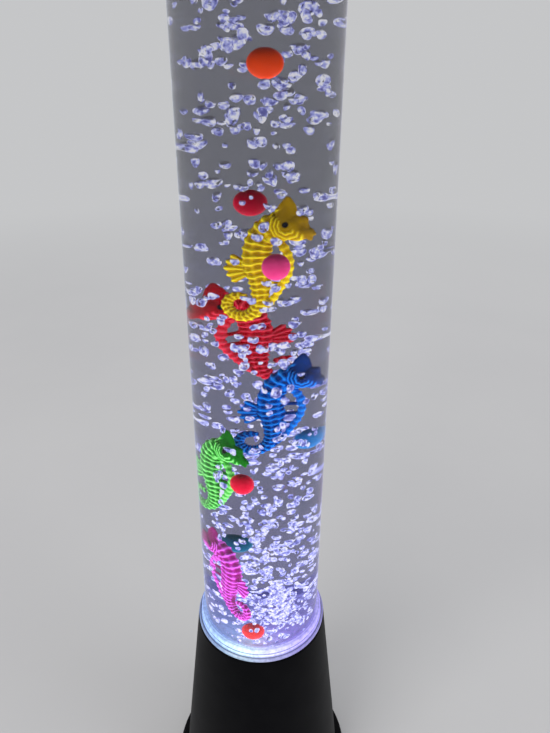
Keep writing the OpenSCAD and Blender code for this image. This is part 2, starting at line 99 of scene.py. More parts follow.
camera_data = bpy.data.cameras.new("camera")
camera_data.lens = LENS
camera_data.clip_start = 0.01
camera_data.clip_end = 100
camera = add_object("camera", camera_data)
camera.matrix_world = (
    Matrix.Translation(CAMERA_PLACE)
    @ Matrix.Rotation(math.radians(90 - CAMERA_DOWN), 4, "X")
    @ Matrix.Rotation(math.radians(CAMERA_ROLL), 4, "Z")
)
scene.camera = camera
scene.view_settings.view_transform = "Standard"
print("camera at", CAMERA_PLACE)

# %% [markdown]
# ## Node helpers
# A material is a tree of nodes. Short helpers keep each finish readable: they add a node, make
# a material with its Principled shader, open a shader group whose sockets are named for what
# they mean, and add the few kinds of node that nearly every finish needs.

# %% Node helpers
def add_node(tree, kind, inputs=(), **settings):
    """A node of that kind, with its settings and its inputs: a socket is linked, a value is set."""
    node = tree.nodes.new(kind)
    for name, value in settings.items():
        setattr(node, name, value)
    for name, value in dict(inputs).items():
        if isinstance(value, bpy.types.NodeSocket):
            tree.links.new(value, node.inputs[name])
        else:
            node.inputs[name].default_value = value
    return node


def new_material(name, **inputs):
    """A material with one Principled shader, its constants set on the shader's own sockets."""
    material = bpy.data.materials.new(name)
    material.use_nodes = True
    shader = material.node_tree.nodes["Principled BSDF"]
    for key, value in inputs.items():
        shader.inputs[key.replace("_", " ")].default_value = value
    return material, material.node_tree, shader


def open_group(name, inputs, outputs):
    """A shader group with named sockets, given as (name, kind, default) and (name, kind)."""
    group = bpy.data.node_groups.new(name, "ShaderNodeTree")
    for label, kind, value in inputs:
        socket = group.interface.new_socket(label, in_out="INPUT", socket_type="NodeSocket" + kind)
        if value is not None:
            socket.default_value = value
    for label, kind in outputs:
        group.interface.new_socket(label, in_out="OUTPUT", socket_type="NodeSocket" + kind)
    return group, group.nodes.new("NodeGroupInput").outputs, group.nodes.new("NodeGroupOutput").inputs


def use_group(tree, group, inputs):
    """Places a shader group in a material, with that material's own values."""
    return add_node(tree, "ShaderNodeGroup", inputs, node_tree=group)


def ramp(tree, factor, stops):
    """A colour ramp from (position, colour) stops."""
    node = tree.nodes.new("ShaderNodeValToRGB")
    while len(node.color_ramp.elements) < len(stops):
        node.color_ramp.elements.new(0.5)
    for element, (position, colour) in zip(node.color_ramp.elements, stops):
        element.position = position
        element.color = colour if len(colour) == 4 else (*colour, 1)
    tree.links.new(factor, node.inputs["Fac"])
    return node.outputs["Color"]


def maths(tree, operation, a, b=None, clamp=False):
    """One arithmetic node; a and b are numbers or sockets."""
    node = tree.nodes.new("ShaderNodeMath")
    node.operation = operation
    node.use_clamp = clamp
    for socket, value in zip(node.inputs, (a, b)):
        if isinstance(value, bpy.types.NodeSocket):
            tree.links.new(value, socket)
        elif value is not None:
            socket.default_value = value
    return node.outputs[0]


def mix_colours(tree, factor, a, b):
    """A colour mix; the factor and both colours are values or sockets."""
    node = tree.nodes.new("ShaderNodeMix")
    node.data_type = "RGBA"
    for name, value in (("Factor_Float", factor), ("A_Color", a), ("B_Color", b)):
        socket = next(s for s in node.inputs if s.identifier == name)
        if isinstance(value, bpy.types.NodeSocket):
            tree.links.new(value, socket)
        else:
            socket.default_value = value if name == "Factor_Float" or len(value) == 4 else (*value, 1)
    return next(s for s in node.outputs if s.identifier == "Result_Color")


def place_of(tree):
    """The surface's place on the lamp, in metres."""
    return tree.nodes.new("ShaderNodeTexCoord").outputs["Object"]


def split(tree, vector):
    """The X, Y and Z of a vector."""
    return add_node(tree, "ShaderNodeSeparateXYZ", {"Vector": vector}).outputs


def scaled(tree, colour, factor):
    """A colour times a number or another colour."""
    return add_node(tree, "ShaderNodeVectorMath", {0: colour, 1: factor}, operation="MULTIPLY").outputs[0]


def noise_over(tree, where, scale, detail, distortion=0.0):
    """Noise over the surface, from 0 to 1."""
    return add_node(tree, "ShaderNodeTexNoise", {
        "Vector": where, "Scale": scale, "Detail": detail, "Distortion": distortion}).outputs["Fac"]


def remap(tree, value, low, high, at_low=0.0, at_high=1.0, **settings):
    """Takes a value from the range low to high to another range, and holds it at both ends."""
    return add_node(tree, "ShaderNodeMapRange", {
        "Value": value, "From Min": low, "From Max": high, "To Min": at_low, "To Max": at_high,
    }, **settings).outputs["Result"]


def add_bump(tree, shader, height, strength, distance):
    """Gives a shader a relief of that depth, in metres."""
    bump = add_node(tree, "ShaderNodeBump", {"Height": height, "Strength": strength, "Distance": distance})
    tree.links.new(bump.outputs["Normal"], shader.inputs["Normal"])


def mix_surface(tree, factor, shader, other):
    """Mixes two shaders into the material's surface."""
    mix = add_node(tree, "ShaderNodeMixShader", {"Fac": factor, 1: shader, 2: other})
    tree.links.new(mix.outputs["Shader"], tree.nodes["Material Output"].inputs["Surface"])


print("node helpers ready")

# %% [markdown]
# ## Shared surface effects
# Moulded plastic has a fine spark-eroded grain, cloudy gloss where hands have been, and a colour
# that drifts a little. Shader groups let every finish share these with its own strengths.

# %% Moulded grain group
CLOUD_SCALE, SPECKLE = 28.0, 0.12


def build_grain_group():
    """Height and roughness of a spark-eroded moulded face."""
    group, inside, outside = open_group(
        "moulded_grain",
        [("Place", "Vector", None), ("Grain Size", "Float", 2500.0), ("Base Roughness", "Float", 0.4),
         ("Cloudiness", "Float", 0.1)],
        [("Height", "Float"), ("Roughness", "Float")],
    )
    fine = noise_over(group, inside["Place"], inside["Grain Size"], 3.0)
    clouds = noise_over(group, inside["Place"], CLOUD_SCALE, 4.0)
    swing = maths(group, "MULTIPLY", maths(group, "SUBTRACT", clouds, 0.5), inside["Cloudiness"])
    speckle = maths(group, "MULTIPLY", maths(group, "SUBTRACT", fine, 0.5), SPECKLE)
    group.links.new(fine, outside["Height"])
    total = maths(group, "ADD", inside["Base Roughness"], maths(group, "ADD", swing, speckle), clamp=True)
    group.links.new(total, outside["Roughness"])
    return group


moulded_grain = build_grain_group()

# %% Colour drift group
def build_drift_group():
    """A colour that drifts a little over the surface, as pigment and dust do."""
    group, inside, outside = open_group(
        "colour_drift",
        [("Place", "Vector", None), ("Colour", "Color", (0.5, 0.5, 0.5, 1)),
         ("Other Colour", "Color", (0.4, 0.4, 0.4, 1)), ("Patch Size", "Float", 60.0)],
        [("Colour", "Color")],
    )
    patches = remap(group, noise_over(group, inside["Place"], inside["Patch Size"], 5.0), 0.35, 0.7)
    group.links.new(mix_colours(group, patches, inside["Colour"], inside["Other Colour"]), outside["Colour"])
    return group


colour_drift = build_drift_group()

# %% Ring light group
def build_ring_light_group():
    """Light of the ring in the base, as it shows round the tube: cool on the left, white-hot at
    the front, violet on the right."""
    group, inside, outside = open_group("ring_light", [("Place", "Vector", None)], [("Colour", "Color")])
    where = split(group, inside["Place"])
    left, front = (maths(group, "MULTIPLY", where[axis], -1.0) for axis in "XY")
    share = remap(group, maths(group, "ARCTAN2", left, front), math.pi, -math.pi)
    group.links.new(ramp(group, share, RING_LIGHT), outside["Colour"])
    return group


# Stops run from the back, by the left, the front (0.5) and the right, to the back again
RING_LIGHT = [
    (0.0, (0.22, 0.22, 0.60)), (0.22, (0.20, 0.28, 0.58)), (0.38, (0.34, 0.54, 0.88)),
    (0.46, (0.62, 0.86, 1.0)), (0.52, (0.62, 0.64, 1.0)), (0.60, (0.42, 0.36, 0.92)),
    (0.80, (0.22, 0.19, 0.55)), (1.0, (0.22, 0.22, 0.60)),
]
ring_light = build_ring_light_group()
print("shader groups:", [g.name for g in bpy.data.node_groups])

# %% [markdown]
# ## Finishes of the base
# The shell, foot and cap are satin black plastic, so dark that only the gloss shows their
# shape. A fine grain in the Bump node breaks up that gloss.

# %% Moulded plastics, rubber and boards
def add_grain(tree, shader, where, size, roughness, cloudiness, bump, depth):
    """Gives a shader the gloss and the fine relief of the moulded grain."""
    grains = use_group(tree, moulded_grain, {
        "Place": where, "Grain Size": size, "Base Roughness": roughness, "Cloudiness": cloudiness})
    tree.links.new(grains.outputs["Roughness"], shader.inputs["Roughness"])
    add_bump(tree, shader, grains.outputs["Height"], bump, depth)


def moulded(name, colour, other, roughness, cloudiness=0.1, bump=0.05, grain=2500.0, patch=60.0, **inputs):
    """A moulded or cast finish: drifting colour, cloudy gloss and a fine grain."""
    material, tree, shader = new_material(name, **inputs)
    where = place_of(tree)
    drift = use_group(tree, colour_drift, {
        "Place": where, "Colour": (*colour, 1), "Other Colour": (*other, 1), "Patch Size": patch})
    tree.links.new(drift.outputs["Colour"], shader.inputs["Base Color"])
    add_grain(tree, shader, where, grain, roughness, cloudiness, bump, 0.0002)
    return material


DULL = {"Specular_IOR_Level": 0.045}
satin_black = moulded("satin_black", (0.0015, 0.0015, 0.0024), (0.003, 0.003, 0.004), 0.46, 0.14, 0.08, **DULL)
foot_black = moulded("foot_black", (0.002, 0.002, 0.003), (0.004, 0.004, 0.005), 0.52, 0.14, 0.1, **DULL)
foot_rubber = moulded("foot_rubber", (0.014, 0.014, 0.015), (0.022, 0.021, 0.02), 0.78, 0.1, 0.3, 1500.0)
button_black = moulded("button_black", (0.006, 0.006, 0.007), (0.009, 0.009, 0.01), 0.32, 0.1, 0.04)
jack_black = moulded("jack_black", (0.01, 0.01, 0.011), (0.014, 0.014, 0.015), 0.3, 0.08, 0.05)
pump_plastic = moulded("pump_plastic", (0.62, 0.61, 0.56), (0.5, 0.49, 0.44), 0.45, 0.12, 0.1)
arm_nylon = moulded("arm_nylon", (0.03, 0.03, 0.034), (0.05, 0.05, 0.054), 0.55, 0.1, 0.2)
board_green = moulded("board_green", (0.008, 0.085, 0.03), (0.01, 0.12, 0.045), 0.28, 0.1, 0.04, patch=180.0)
white_cups = moulded("white_cups", (0.8, 0.78, 0.72), (0.72, 0.7, 0.62), 0.35, 0.1, 0.03)
valve_blue = moulded("valve_blue", (0.02, 0.12, 0.35), (0.03, 0.16, 0.42), 0.3, 0.1, 0.04)
magnet_grey = moulded("magnet_grey", (0.035, 0.035, 0.038), (0.05, 0.048, 0.05), 0.6, 0.15, 0.4, 1200.0)
soft_silicone = moulded("soft_silicone", (0.62, 0.62, 0.66), (0.52, 0.52, 0.57), 0.4, 0.1, 0.05,
                        Subsurface_Weight=0.2, Subsurface_Radius=(0.004, 0.004, 0.004), Subsurface_Scale=0.5)
print("moulded finishes:", len(bpy.data.materials))

# %% Metals
SHEET, WIRE = 0.7, 0.5
screw_steel = moulded("screw_steel", (0.55, 0.55, 0.57), (0.44, 0.45, 0.47), 0.3, 0.2, 0.15, 3000.0, Metallic=1.0)


def laminated_iron():
    """Stacked iron sheets: thin dark joints between bright edges."""
    material, tree, shader = new_material("laminated_iron", Metallic=1.0, Roughness=0.45)
    sheets = maths(tree, "FRACT", maths(tree, "MULTIPLY", split(tree, place_of(tree))["Y"], 1000 / SHEET))
    tones = [(0.0, (0.03, 0.03, 0.03)), (0.12, (0.32, 0.32, 0.34)), (1.0, (0.25, 0.25, 0.27))]
    tree.links.new(ramp(tree, sheets, tones), shader.inputs["Base Color"])
    return material


def wound_copper():
    """Varnished copper wire, wound side by side along X."""
    material, tree, shader = new_material("wound_copper", Metallic=1.0, Roughness=0.3, Coat_Weight=0.6)
    wires = maths(tree, "SINE", maths(tree, "MULTIPLY", split(tree, place_of(tree))["X"], math.tau * 1000 / WIRE))
    tones = [(0.0, (0.12, 0.03, 0.01)), (0.7, (0.62, 0.26, 0.1))]
    tree.links.new(ramp(tree, remap(tree, wires, -1.0, 1.0), tones), shader.inputs["Base Color"])
    add_bump(tree, shader, wires, 0.6, 0.0002)
    return material


core_iron = laminated_iron()
coil_copper = wound_copper()
print("metals ready")

# %% [markdown]
# ## Clear parts
# Acrylic and water bend what is behind them, and Cycles would find the lamps through them only
# by chance. So each clear finish is plain Transparent to shadow and diffuse rays.

# %% Clear finishes
ACRYLIC_IOR, WATER_IOR = 1.49, 1.33
RIPPLE_SIZE = 60.0


def let_lamps_through(tree, shader, colour):
    """Mixes a clear shader with Transparent, which only shadow and diffuse rays meet."""
    path = tree.nodes.new("ShaderNodeLightPath")
    lamp_ray = maths(tree, "MAXIMUM", path.outputs["Is Shadow Ray"], path.outputs["Is Diffuse Ray"])
    straight = add_node(tree, "ShaderNodeBsdfTransparent", {"Color": (*colour, 1)})
    mix_surface(tree, lamp_ray, shader.outputs["BSDF"], straight.outputs["BSDF"])


def clear(name, colour, ior, lamp_colour, mirror, ripple=0.0):
    """Clear acrylic or water, with a slow ripple in its surface. Acrylic and water touch, so each
    mirrors less than it would in air."""
    material, tree, shader = new_material(
        name, Base_Color=(*colour, 1), Roughness=0.0, IOR=ior, Transmission_Weight=1.0,
        Specular_Tint=(mirror, mirror, mirror, 1))
    if ripple:
        add_bump(tree, shader, noise_over(tree, place_of(tree), RIPPLE_SIZE, 2.0), ripple, 0.001)
    let_lamps_through(tree, shader, lamp_colour)
    return material


# The ring's light makes the low water paler and bluer: stops over these heights, in metres
TINT_LOW, TINT_HIGH = 0.17, 0.47
WATER_TINT = [(0.0, (0.32, 0.31, 0.47)), (0.35, (0.30, 0.30, 0.44)), (0.65, (0.30, 0.30, 0.40)),
              (1.0, (0.252, 0.252, 0.276))]
tube_acrylic = clear("tube_acrylic", (0.97, 0.975, 1.0), ACRYLIC_IOR, (0.97, 0.975, 1.0), 0.2, 0.02)
water = clear("water", WATER_TINT[-1][1], WATER_IOR, (0.24, 0.235, 0.245), 0.1)


def tint_by_height(material, stops):
    """Tints a clear finish by how high it is over the plate."""
    tree = material.node_tree
    share = remap(tree, split(tree, place_of(tree))["Z"], TINT_LOW, TINT_HIGH)
    tree.links.new(ramp(tree, share, stops), tree.nodes["Principled BSDF"].inputs["Base Color"])


tint_by_height(water, WATER_TINT)

# Glow of the wall's edges and of its foot: from and to which height in metres, and how bright there
EDGE_GLOW, FOOT_GLOW = (0.17, 0.75, 1.0, 0.25), (0.168, 0.28, 0.085, 0.0)


def light_the_wall(material):
    """Lets the tube's wall carry the ring's light up: it shows where one looks along the wall, and
    all over its foot, and fades with height."""
    tree = material.node_tree
    shader = tree.nodes["Principled BSDF"]
    where = place_of(tree)
    height = split(tree, where)["Z"]
    along = add_node(tree, "ShaderNodeLayerWeight", {"Blend": 0.5}).outputs["Facing"]
    edges = maths(tree, "MULTIPLY", maths(tree, "POWER", along, 9.0), remap(tree, height, *EDGE_GLOW))
    glow = maths(tree, "ADD", edges, remap(tree, height, *FOOT_GLOW))
    light = use_group(tree, ring_light, {"Place": where}).outputs["Colour"]
    tree.links.new(scaled(tree, light, glow), shader.inputs["Emission Color"])
    shader.inputs["Emission Strength"].default_value = 0.4
    material.cycles.emission_sampling = "NONE"


light_the_wall(tube_acrylic)
print("clear finishes ready")

# %% Lit clear parts
def band_ramp(tree, value, bands):
    """Brightness over a length, from (mm, brightness) bands."""
    low, high = bands[0][0], bands[-1][0]
    share = remap(tree, value, low * MM, high * MM)
    return ramp(tree, share, [((r - low) / (high - low), (b, b, b)) for r, b in bands])


def lit_acrylic(name, colour, strength, rings, steps, roughness, transmission):
    """Clear acrylic full of the ring's light: its colour goes round with the angle, and its bands
    follow the turned profile outwards (rings) and upwards (steps)."""
    material, tree, shader = new_material(
        name, Base_Color=(*colour, 1), Roughness=roughness, IOR=ACRYLIC_IOR, Transmission_Weight=transmission,
        Emission_Strength=strength)
    where = place_of(tree)
    parts = split(tree, where)
    flat = add_node(tree, "ShaderNodeCombineXYZ", {"X": parts["X"], "Y": parts["Y"], "Z": 0.0})
    radius = add_node(tree, "ShaderNodeVectorMath", {0: flat.outputs[0]}, operation="LENGTH").outputs["Value"]
    uneven = ramp(tree, noise_over(tree, where, 420.0, 3.0), [(0.32, (0.62, 0.62, 0.68)), (0.62, (1.0, 1.0, 1.0))])
    lit = use_group(tree, ring_light, {"Place": where}).outputs["Colour"]
    for factor in (band_ramp(tree, radius, rings), band_ramp(tree, parts["Z"], steps), uneven):
        lit = scaled(tree, lit, factor)
    tree.links.new(lit, shader.inputs["Emission Color"])
    return material


COLLAR_RINGS = [(36.4, 0.3), (39.6, 0.35), (40.2, 0.6), (40.7, 0.85), (41.5, 0.6), (42.3, 1.0), (43.1, 1.0),
                (43.3, 0.05), (43.9, 0.05), (44.15, 0.5), (45.0, 0.55)]
COLLAR_STEPS = [(166.0, 0.5), (168.4, 0.8), (169.3, 0.7), (170.0, 0.9), (170.6, 0.6), (171.2, 0.6), (171.5, 1.0),
                (172.7, 1.0), (173.0, 0.3), (173.6, 0.3), (173.9, 1.0), (175.3, 1.0), (176.5, 0.85)]
PLATE_RINGS = [(0.0, 0.55), (22.0, 0.62), (28.0, 0.42), (30.5, 0.8), (32.0, 0.45), (34.0, 1.0), (35.2, 0.6),
               (37.2, 1.0)]
PLATE_STEPS = [(160.0, 1.0), (172.0, 1.0)]
collar_acrylic = lit_acrylic("collar_acrylic", (0.10, 0.11, 0.2), 1.6, COLLAR_RINGS, COLLAR_STEPS, 0.12, 0.15)
plate_acrylic = lit_acrylic("plate_acrylic", (0.20, 0.21, 0.42), 1.7, PLATE_RINGS, PLATE_STEPS, 0.35, 0.1)
floor_acrylic = lit_acrylic("floor_acrylic", (0.4, 0.42, 0.6), 1.2, PLATE_RINGS, PLATE_STEPS, 0.2, 0.3)
print("lit finishes ready")

# %% [markdown]
# ## Finishes for every construction node
# Nodes that keep their own mesh only need a finish. Some stay hidden inside the base, and
# still get the one the real piece has.

# %% Dress the construction nodes
FINISHES = [
    (satin_black, "base_shell top_cap"), (foot_black, "base_plate"), (board_green, "led_board control_board"),
    (foot_rubber, "rubber_feet pump_mounts pump_diaphragm"), (screw_steel, "base_screws led_screws arm_pin"),
    (soft_silicone, "tube_gasket hose_lower hose_upper"), (pump_plastic, "pump_case pump_cover pump_valve"),
    (collar_acrylic, "collar"), (tube_acrylic, "tube"), (floor_acrylic, "tube_floor"),
    (plate_acrylic, "bubble_plate"), (white_cups, "leds"), (core_iron, "pump_core"),
    (coil_copper, "pump_coil"), (arm_nylon, "pump_arm"), (magnet_grey, "pump_magnet"),
    (valve_blue, "check_valve"), (jack_black, "mode_switch dc_jack"), (button_black, "mode_button"),
]
dressed = [(nodes[name].data, finish) for finish, names in FINISHES for name in names.split()]
for mesh, finish in dressed:
    mesh.materials.clear()
    mesh.materials.append(finish)
print(len(dressed), "nodes dressed")

# %% [markdown]
# ## Turned parts
# The tube and its water are bodies of revolution, so each is one profile spun a full turn. The
# real tube is polished at its ends, so its edges get a small round in the profile.

# %% Piece and turning helpers
SHARP_OVER = 28
SEGMENTS = 192


def to_mesh(bm, name):
    """Writes a bmesh to a new mesh and frees it."""
    mesh = bpy.data.meshes.new(name)
    bm.to_mesh(mesh)
    bm.free()
    return mesh


def place_piece(name, mesh, material, body, replaces=()):
    """An object that rides on a body and may stand for construction nodes."""
    mesh.materials.append(material)
    piece = add_object(name, mesh)
    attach(piece, body)
    if replaces:
        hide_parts(*replaces)
    return piece


def finish_piece(bm, name, material, body, replaces=(), sharp=SHARP_OVER):
    """Makes a smooth piece of a bmesh, with sharp edges over that angle."""
    bmesh.ops.recalc_face_normals(bm, faces=bm.faces)
    mesh = to_mesh(bm, name)
    mesh.shade_smooth()
    mesh.set_sharp_from_angle(angle=math.radians(sharp))
    return place_piece(name, mesh, material, body, replaces)


def spin_round(bm, profile, steps, join):
    """Spins a profile a full turn about Z and joins what meets."""
    bmesh.ops.spin(bm, geom=profile, cent=(0, 0, 0), axis=(0, 0, 1), angle=math.tau,
                   steps=steps, use_merge=True, use_duplicate=False)
    bmesh.ops.remove_doubles(bm, verts=bm.verts, dist=join)


def turn(profile):
    """Spins a profile of (radius, height) in mm about the tube's axis; a closed profile gives a ring."""
    bm = bmesh.new()
    corners = [bm.verts.new((r * MM, 0, z * MM)) for r, z in profile]
    edges = [bm.edges.new(pair) for pair in zip(corners, corners[1:])]
    if profile[0][0] > 0:
        edges.append(bm.edges.new((corners[-1], corners[0])))
    spin_round(bm, corners + edges, SEGMENTS, 1e-6)
    return bm


TUBE_LOW, TUBE_HIGH = (corner.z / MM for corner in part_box("tube"))
TUBE_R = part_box("tube")[1].x / MM
TUBE_WALL = 3
BORE_R = TUBE_R - TUBE_WALL
WATER_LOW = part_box("bubble_plate")[1].z / MM
WATER_HIGH = 900.0

# %% Tube
EASE = 0.4
tube_profile = [
    (BORE_R, TUBE_LOW), (TUBE_R - EASE, TUBE_LOW), (TUBE_R, TUBE_LOW + EASE), (TUBE_R, TUBE_HIGH - EASE),
    (TUBE_R - EASE, TUBE_HIGH), (BORE_R + EASE, TUBE_HIGH), (BORE_R, TUBE_HIGH - EASE),
]
finish_piece(turn(tube_profile), "tube_wall", tube_acrylic, "lamp", ["tube"])
print("tube", TUBE_LOW, TUBE_HIGH)

# %% Water
# It reaches a little into the wall and the plate, so that no gap shows, and climbs the wall at its top
INTO_WALL, INTO_PLATE = 0.1, 0.4
water_profile = [
    (0, WATER_LOW - INTO_PLATE), (BORE_R + INTO_WALL, WATER_LOW - INTO_PLATE),
    (BORE_R + INTO_WALL, WATER_HIGH + 1.6), (BORE_R - 0.9, WATER_HIGH + 0.4), (BORE_R - 2.5, WATER_HIGH),
    (0, WATER_HIGH),
]
finish_piece(turn(water_profile), "water_column", water, "lamp")
print("water from", WATER_LOW, "to", WATER_HIGH)

# %% [markdown]
# ## The seahorse mould
# All five seahorses come from one mould, so one sculpted mesh is copied five times. The cage is
# a ring of vertices extruded from station to station along the spine, with the head, snout,
# crest and fin as rounded bars. A voxel remesh then makes one skin over all of it, and the fine
# relief, bony rings, knobs and cheek lines, is moved into that skin afterwards, as a sculptor
# would.

# %% Mould figures
# The seahorse faces +X and stands along +Z. Each spine station is (x, z, half width), in mm
SPINE = [
    (7, 20, 5.0), (2.6, 17.0, 5.7), (-0.9, 12.2, 5.8), (-2.6, 6.8, 6), (-3, 0.4, 6.1),
    (-2.2, -5.6, 5.6), (-1.6, -11, 4.9), (-1.6, -16, 4.2), (-2, -21, 3.6), (-3.4, -25.4, 3.3),
    (-6.6, -28.9, 3), (-10.9, -30.2, 2.9), (-14.9, -28.5, 2.7), (-16.8, -24.6, 2.5),
    (-15.3, -20.6, 2.2), (-11.8, -18.9, 1.9), (-7.9, -19.6, 1.4),
]
RIM = [
    (4.6, 12.4, 2), (8.8, 7.6, 1.8), (11.2, 2, 1.8), (11.3, -4, 1.7), (9.3, -9.6, 1.6),
    (6, -15.6, 1.5), (2.8, -21, 1.5), (-1, -25.6, 1.6),
]
SPINE_DEPTH = 0.86
EYE = Vector((11.6, 0, 19.2))
# The fin's rays fan out from its root (x, z) by this many degrees each
FIN_ROOT, FIN_STEP = (-3, -4.6), 15.5


def curve_points(stations, steps):
    """Points on a smooth curve through the stations (Catmull-Rom), as rows of x, z, half width."""
    rows = np.array(stations, float)
    last = len(rows) - 1
    out = []
    for u in np.linspace(0, last, steps + 1):
        i = min(int(u), last - 1)
        t = u - i
        a, b, c, d = rows[max(i - 1, 0)], rows[i], rows[i + 1], rows[min(i + 2, last)]
        bend = (2 * a - 5 * b + 4 * c - d) * t**2
        out.append(0.5 * (2 * b + (c - a) * t + bend + (3 * b - a - 3 * c + d) * t**3))
    return np.array(out)


print("spine points", len(curve_points(SPINE, 80)))

# %% Sweeping and barring helpers
def station_matrix(point, tangent, depth):
    """The frame of a ring round the curve: its X is across the curve, its Y the mould's depth."""
    x, z, half = point
    tx, tz = tangent / np.linalg.norm(tangent)
    return Matrix((
        (-tz * half, 0, tx, x),
        (0, half * depth, 0, 0),
        (tx * half, 0, tz, z),
        (0, 0, 0, 1),
    ))


def sweep(bm, stations, steps, depth, sides=20):
    """Extrudes a ring of vertices along the curve and closes both ends."""
    points = curve_points(stations, steps)
    tangents = np.gradient(points[:, :2], axis=0)
    now = station_matrix(points[0], tangents[0], depth)
    ring = bmesh.ops.create_circle(bm, cap_ends=True, segments=sides, radius=1, matrix=now)["verts"]
    edges = list({e for v in ring for e in v.link_edges if all(w in ring for w in e.verts)})
    for point, tangent in zip(points[1:], tangents[1:]):
        then = station_matrix(point, tangent, depth)
        grown = bmesh.ops.extrude_edge_only(bm, edges=edges)["geom"]
        edges = [g for g in grown if isinstance(g, bmesh.types.BMEdge) and len(g.link_faces) == 1]
        ring = list({v for e in edges for v in e.verts})
        bmesh.ops.transform(bm, matrix=then @ now.inverted(), verts=ring)
        now = then
    bmesh.ops.contextual_create(bm, geom=edges)


def rounded(bm, discs, flat=1.0, around=16):
    """One rounded form that wraps discs of the flat figure, each (x, z, radius), flattened in depth."""
    corners = []
    for x, z, radius in discs:
        shape = Matrix.Translation((x, 0, z)) @ Matrix.Diagonal((1, flat, 1, 1))
        corners += bmesh.ops.create_uvsphere(bm, u_segments=around, v_segments=around * 3 // 4, radius=radius,
                                             matrix=shape)["verts"]
    hull = bmesh.ops.convex_hull(bm, input=corners)
    inside = [g for g in hull["geom_interior"] + hull["geom_unused"] if isinstance(g, bmesh.types.BMVert)]
    bmesh.ops.delete(bm, geom=list(set(inside)), context="VERTS")


def limb(bm, a, radius_a, b, radius_b, flat=1.0):
    """A rounded bar between two points of the flat figure."""
    rounded(bm, [(*a, radius_a), (*b, radius_b)], flat)


print("mould helpers ready")

# %% Cage of the mould
def mould_cage():
    """The mould's closed shells, overlapping, in mm."""
    bm = bmesh.new()
    sweep(bm, SPINE, 64, SPINE_DEPTH)
    sweep(bm, RIM, 28, 1.1, 12)
    # Head, jaw, short wedge of a snout, lips and the brow over it
    limb(bm, (8.6, 17.4), 6.2, (12.6, 17), 5.8, 0.8)
    limb(bm, (12.6, 15.8), 4.8, (18.6, 15), 3.2, 0.8)
    limb(bm, (18.6, 15.1), 3.1, (21.6, 14.9), 2.4, 0.7)
    limb(bm, (21.4, 15.4), 1.9, (24.1, 14.4), 0.9, 0.8)
    limb(bm, (21.0, 13.4), 1.9, (21.9, 12.2), 1.2, 0.8)
    limb(bm, (14, 20), 3.6, (18.6, 21), 2.1, 0.7)
    limb(bm, (18.7, 19.8), 1.7, (19.6, 17.2), 1.9, 0.75)
    # Eyes
    for side in (-1, 1):
        place = Matrix.Translation((EYE.x, 3.6 * side, EYE.z))
        bmesh.ops.create_uvsphere(bm, u_segments=16, v_segments=12, radius=1.5, matrix=place)
    # Crest: a broad root that leans forward to a rounded point
    rounded(bm, [(7.6, 23.2, 2.6), (13.2, 24, 2.4), (9.2, 27, 2.5), (12.3, 27.4, 2.3), (11.0, 30.6, 1.6)], 0.62)
    limb(bm, (9.8, 20.5), 4.6, (10.6, 27.4), 1.8, 0.85)
    # Cross bars of the open belly
    limb(bm, (1, 1.5), 1.15, (11, 1), 1.0)
    limb(bm, (1, -5), 1.15, (11.2, -5), 1.0)
    limb(bm, (0.5, -11), 1.1, (8.6, -10.6), 1.0)
    # Fin: five fat lobes over a thin web
    root = Vector(FIN_ROOT)
    for i in range(-2, 3):
        a = math.radians(180 + FIN_STEP * i)
        out = Vector((math.cos(a), math.sin(a)))
        limb(bm, root + 2.5 * out, 0.9, root + (12.9 - 0.6 * abs(i)) * out, 1.6, 0.62)
    web = [bm.verts.new((root.x, s, root.y)) for s in (-0.45, 0.45)]
    for i in np.arange(-2, 2.5, 0.5):
        a = math.radians(180 + FIN_STEP * i)
        reach = (12.4 if i == round(i) else 11.6) - 0.6 * abs(i)
        x, z = root.x + reach * math.cos(a), root.y + reach * math.sin(a)
        web += [bm.verts.new((x, s, z)) for s in (-0.45, 0.45)]
    bmesh.ops.convex_hull(bm, input=web)
    bmesh.ops.recalc_face_normals(bm, faces=bm.faces)
    return bm


def skin_over(bm, voxel, smoothing):
    """One even skin over overlapping shells: a voxel remesh, then a few passes of smoothing."""
    mesh = to_mesh(bm, "cage")
    cage = add_object("cage", mesh)
    remesh = cage.modifiers.new("skin", "REMESH")
    remesh.mode = "VOXEL"
    remesh.voxel_size = voxel
    soften = cage.modifiers.new("soften", "SMOOTH")
    soften.factor = 0.5
    soften.iterations = smoothing
    skin = bpy.data.meshes.new_from_object(cage.evaluated_get(bpy.context.evaluated_depsgraph_get()))
    bpy.data.objects.remove(cage)
    bpy.data.meshes.remove(mesh)
    return skin


mould = skin_over(mould_cage(), 0.36, 5)
print("mould skin", len(mould.vertices), "vertices")

# %% [markdown]
# ## Relief of the mould
# Every vertex of the skin is told how far along the spine it lies. A bump that repeats along
# that length makes the bony rings, narrower than the hollows between them, and three rows of
# knobs sit on the rings. The same relief is kept as an attribute: the soft plastic is thinner on
# its crests, and the finish paints them lighter, partly for that and partly as painted highlight,
# and paints the hollows darker as painted shade.

# %% Bony rings, knobs and cheek lines
RING_PITCH = 3.5
KNOB_ROWS = (-0.78, -0.1, 0.66)
CHEEK_LINES = (3.2, 4.9, 6.6)


def crest_of(phase, sharpness):
    """1 on each whole number and 0 between, with narrow crests."""
    return np.exp(-((np.abs(phase - np.round(phase)) / sharpness) ** 2))


def point_tree(points):
    """A tree that finds the nearest of the points."""
    tree = kdtree.KDTree(len(points))
    for i, point in enumerate(points):
        tree.insert(point, i)
    tree.balance()
    return tree


